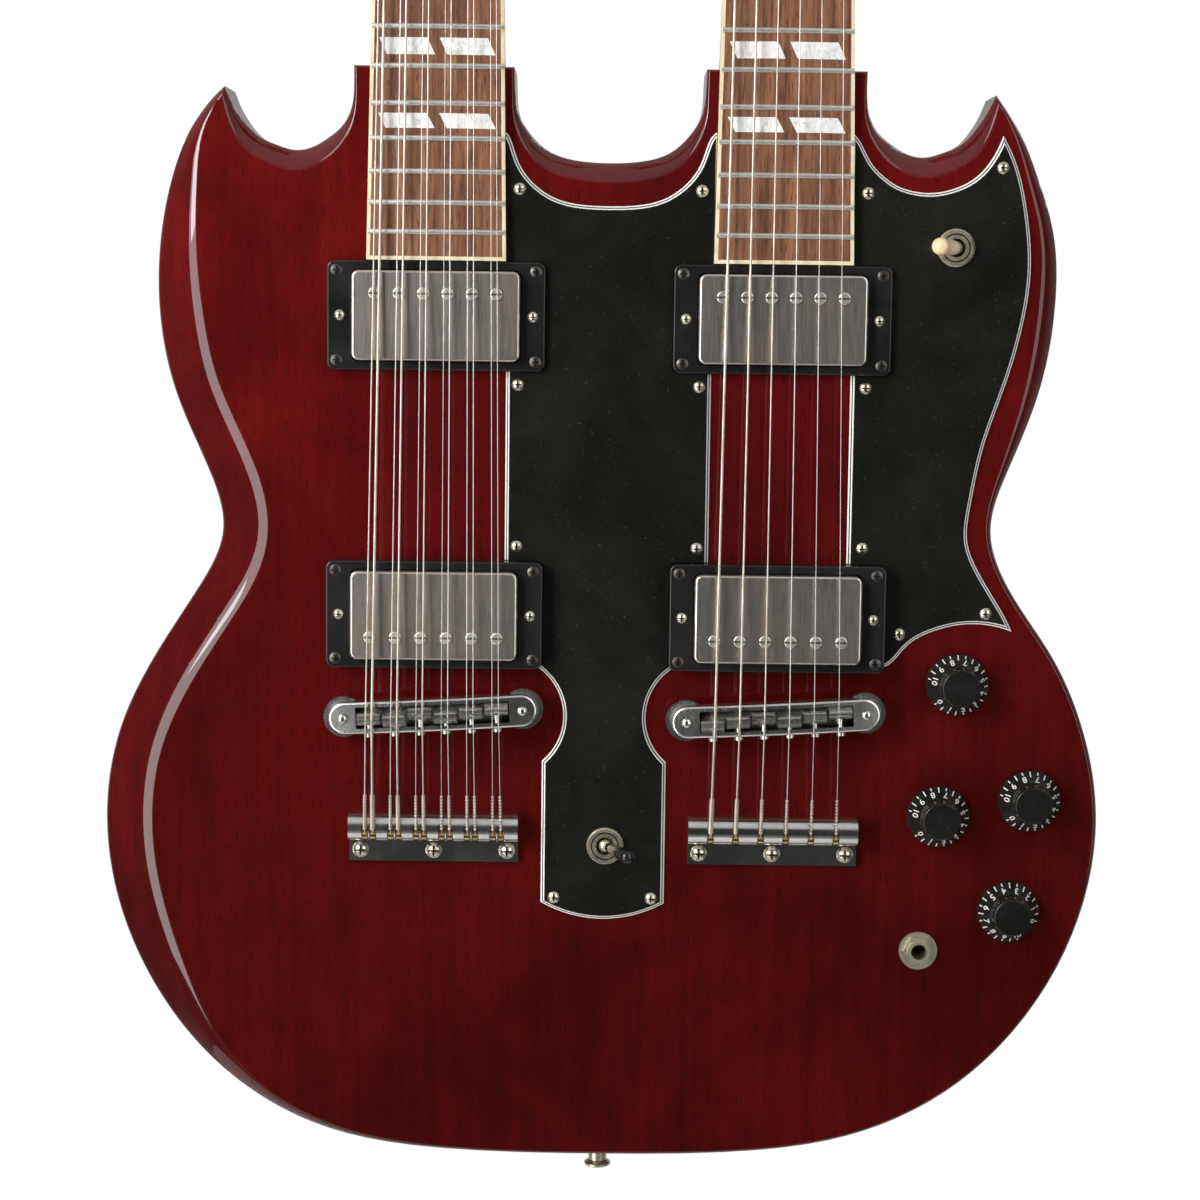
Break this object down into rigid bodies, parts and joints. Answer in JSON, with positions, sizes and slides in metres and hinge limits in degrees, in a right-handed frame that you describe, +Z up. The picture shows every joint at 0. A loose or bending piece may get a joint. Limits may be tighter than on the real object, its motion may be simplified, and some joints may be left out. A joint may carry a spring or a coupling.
{
  "type": "double-neck electric guitar",
  "caption": "Solid-body double-neck electric guitar, one neck strung in pairs and the other singly, with pickups, bridges, tailpieces, knobs, toggle switches, output jack and tuners.",
  "frame": {"origin": "middle of the body's bottom edge, half way through its thickness, at the seat of the end strap button", "axes": "+X to the right seen from the front, -Y out of the front face, +Z up along the necks"},
  "size_m": [0.4162, 0.1277, 1.0557],
  "materials": {
    "body_lacquer": "gloss",
    "neck_lacquer": "gloss",
    "rosewood": "satin",
    "fret_metal": "polished",
    "pearl": "gloss",
    "cream_binding": "gloss",
    "bone": "satin",
    "headplate_black": "gloss",
    "plain_steel": "satin",
    "guard_black": "gloss",
    "string_steel": "polished",
    "brass": "polished",
    "screw_nickel": "polished",
    "ring_black": "gloss",
    "aged_nickel": "worn",
    "coil_black": "matte",
    "bridge_chrome": "polished",
    "tuner_nickel": "polished",
    "tuner_button": "gloss",
    "knob_black": "gloss",
    "switch_black": "gloss",
    "switch_cream": "gloss"
  },
  "bodies": {
    "guitar": {"body": "body_lacquer", "neck_twelve": "neck_lacquer", "neck_six": "neck_lacquer", "fretboard_twelve": "rosewood", "fretboard_six": "rosewood", "frets": "fret_metal", "inlays": "pearl", "bindings": "cream_binding", "string_nuts": "bone", "headplates": "headplate_black", "truss_rods": "plain_steel", "truss_rod_covers": "guard_black", "strings": "string_steel", "ball_ends": "brass", "guard_main": "guard_black", "guard_wing": "guard_black", "small_screws": "screw_nickel", "pickup_rings": "ring_black", "pickup_covers": "aged_nickel", "pickup_coils": "coil_black", "pole_screws": "screw_nickel", "height_screws": "screw_nickel", "bridge_twelve": "bridge_chrome", "bridge_six": "bridge_chrome", "bridge_saddles": "bridge_chrome", "bridge_posts": "bridge_chrome", "tailpiece_twelve": "bridge_chrome", "tailpiece_six": "bridge_chrome", "toggle_switches": "bridge_chrome", "control_pots": "plain_steel", "output_jack": "bridge_chrome", "strap_buttons": "bridge_chrome", "rear_cover": "guard_black", "tuner_housings": "tuner_nickel", "string_posts": "tuner_nickel"},
    "tuner_twelve_1": {"tuner_button_twelve_1": "tuner_button"},
    "tuner_twelve_2": {"tuner_button_twelve_2": "tuner_button"},
    "tuner_twelve_3": {"tuner_button_twelve_3": "tuner_button"},
    "tuner_twelve_4": {"tuner_button_twelve_4": "tuner_button"},
    "tuner_twelve_5": {"tuner_button_twelve_5": "tuner_button"},
    "tuner_twelve_6": {"tuner_button_twelve_6": "tuner_button"},
    "tuner_twelve_7": {"tuner_button_twelve_7": "tuner_button"},
    "tuner_twelve_8": {"tuner_button_twelve_8": "tuner_button"},
    "tuner_twelve_9": {"tuner_button_twelve_9": "tuner_button"},
    "tuner_twelve_10": {"tuner_button_twelve_10": "tuner_button"},
    "tuner_twelve_11": {"tuner_button_twelve_11": "tuner_button"},
    "tuner_twelve_12": {"tuner_button_twelve_12": "tuner_button"},
    "tuner_six_1": {"tuner_button_six_1": "tuner_button"},
    "tuner_six_2": {"tuner_button_six_2": "tuner_button"},
    "tuner_six_3": {"tuner_button_six_3": "tuner_button"},
    "tuner_six_4": {"tuner_button_six_4": "tuner_button"},
    "tuner_six_5": {"tuner_button_six_5": "tuner_button"},
    "tuner_six_6": {"tuner_button_six_6": "tuner_button"},
    "knob_1": {"control_knob_1": "knob_black"},
    "knob_2": {"control_knob_2": "knob_black"},
    "knob_3": {"control_knob_3": "knob_black"},
    "knob_4": {"control_knob_4": "knob_black"},
    "wing_switch": {"wing_switch_lever": "switch_cream"},
    "middle_switch": {"middle_switch_lever": "switch_black"}
  },
  "joints": [
    {"name": "tuner_twelve_1_turn", "type": "hinge", "parent": "guitar", "child": "tuner_twelve_1", "pos_m": [-0.10445, 0.03143, 0.86021], "axis": [-1, 0, 0], "continuous": true},
    {"name": "tuner_twelve_2_turn", "type": "hinge", "parent": "guitar", "child": "tuner_twelve_2", "pos_m": [-0.1053, 0.04008, 0.88998], "axis": [-1, 0, 0], "continuous": true},
    {"name": "tuner_twelve_3_turn", "type": "hinge", "parent": "guitar", "child": "tuner_twelve_3", "pos_m": [-0.10614, 0.04873, 0.91975], "axis": [-1, 0, 0], "continuous": true},
    {"name": "tuner_twelve_4_turn", "type": "hinge", "parent": "guitar", "child": "tuner_twelve_4", "pos_m": [-0.10698, 0.05738, 0.94952], "axis": [-1, 0, 0], "continuous": true},
    {"name": "tuner_twelve_5_turn", "type": "hinge", "parent": "guitar", "child": "tuner_twelve_5", "pos_m": [-0.10782, 0.06603, 0.97929], "axis": [-1, 0, 0], "continuous": true},
    {"name": "tuner_twelve_6_turn", "type": "hinge", "parent": "guitar", "child": "tuner_twelve_6", "pos_m": [-0.10867, 0.07468, 1.00906], "axis": [-1, 0, 0], "continuous": true},
    {"name": "tuner_twelve_7_turn", "type": "hinge", "parent": "guitar", "child": "tuner_twelve_7", "pos_m": [-0.03535, 0.03143, 0.86021], "axis": [1, 0, 0], "continuous": true},
    {"name": "tuner_twelve_8_turn", "type": "hinge", "parent": "guitar", "child": "tuner_twelve_8", "pos_m": [-0.0345, 0.04008, 0.88998], "axis": [1, 0, 0], "continuous": true},
    {"name": "tuner_twelve_9_turn", "type": "hinge", "parent": "guitar", "child": "tuner_twelve_9", "pos_m": [-0.03366, 0.04873, 0.91975], "axis": [1, 0, 0], "continuous": true},
    {"name": "tuner_twelve_10_turn", "type": "hinge", "parent": "guitar", "child": "tuner_twelve_10", "pos_m": [-0.03282, 0.05738, 0.94952], "axis": [1, 0, 0], "continuous": true},
    {"name": "tuner_twelve_11_turn", "type": "hinge", "parent": "guitar", "child": "tuner_twelve_11", "pos_m": [-0.03198, 0.06603, 0.97929], "axis": [1, 0, 0], "continuous": true},
    {"name": "tuner_twelve_12_turn", "type": "hinge", "parent": "guitar", "child": "tuner_twelve_12", "pos_m": [-0.03113, 0.07468, 1.00906], "axis": [1, 0, 0], "continuous": true},
    {"name": "tuner_six_1_turn", "type": "hinge", "parent": "guitar", "child": "tuner_six_1", "pos_m": [0.03651, 0.03143, 0.86021], "axis": [-1, 0, 0], "continuous": true},
    {"name": "tuner_six_2_turn", "type": "hinge", "parent": "guitar", "child": "tuner_six_2", "pos_m": [0.03468, 0.04231, 0.89767], "axis": [-1, 0, 0], "continuous": true},
    {"name": "tuner_six_3_turn", "type": "hinge", "parent": "guitar", "child": "tuner_six_3", "pos_m": [0.03286, 0.05319, 0.93512], "axis": [-1, 0, 0], "continuous": true},
    {"name": "tuner_six_4_turn", "type": "hinge", "parent": "guitar", "child": "tuner_six_4", "pos_m": [0.10569, 0.03143, 0.86021], "axis": [1, 0, 0], "continuous": true},
    {"name": "tuner_six_5_turn", "type": "hinge", "parent": "guitar", "child": "tuner_six_5", "pos_m": [0.10752, 0.04231, 0.89767], "axis": [1, 0, 0], "continuous": true},
    {"name": "tuner_six_6_turn", "type": "hinge", "parent": "guitar", "child": "tuner_six_6", "pos_m": [0.10934, 0.05319, 0.93512], "axis": [1, 0, 0], "continuous": true},
    {"name": "knob_1_turn", "type": "hinge", "parent": "guitar", "child": "knob_1", "pos_m": [0.1467, -0.018, 0.20421], "axis": [0, -1, 0], "range_deg": [0, 300]},
    {"name": "knob_2_turn", "type": "hinge", "parent": "guitar", "child": "knob_2", "pos_m": [0.14019, -0.018, 0.14869], "axis": [0, -1, 0], "range_deg": [0, 300]},
    {"name": "knob_3_turn", "type": "hinge", "parent": "guitar", "child": "knob_3", "pos_m": [0.17801, -0.018, 0.15572], "axis": [0, -1, 0], "range_deg": [0, 300]},
    {"name": "knob_4_turn", "type": "hinge", "parent": "guitar", "child": "knob_4", "pos_m": [0.1706, -0.018, 0.1086], "axis": [0, -1, 0], "range_deg": [-122, 178]},
    {"name": "wing_switch_throw", "type": "hinge", "parent": "guitar", "child": "wing_switch", "pos_m": [0.1409, -0.0206, 0.38349], "axis": [0, 0, 1], "range_deg": [0, 44]},
    {"name": "middle_switch_throw", "type": "hinge", "parent": "guitar", "child": "middle_switch", "pos_m": [0.0015, -0.0206, 0.13488], "axis": [0, 0, 1], "range_deg": [-44, 0]}
  ]
}
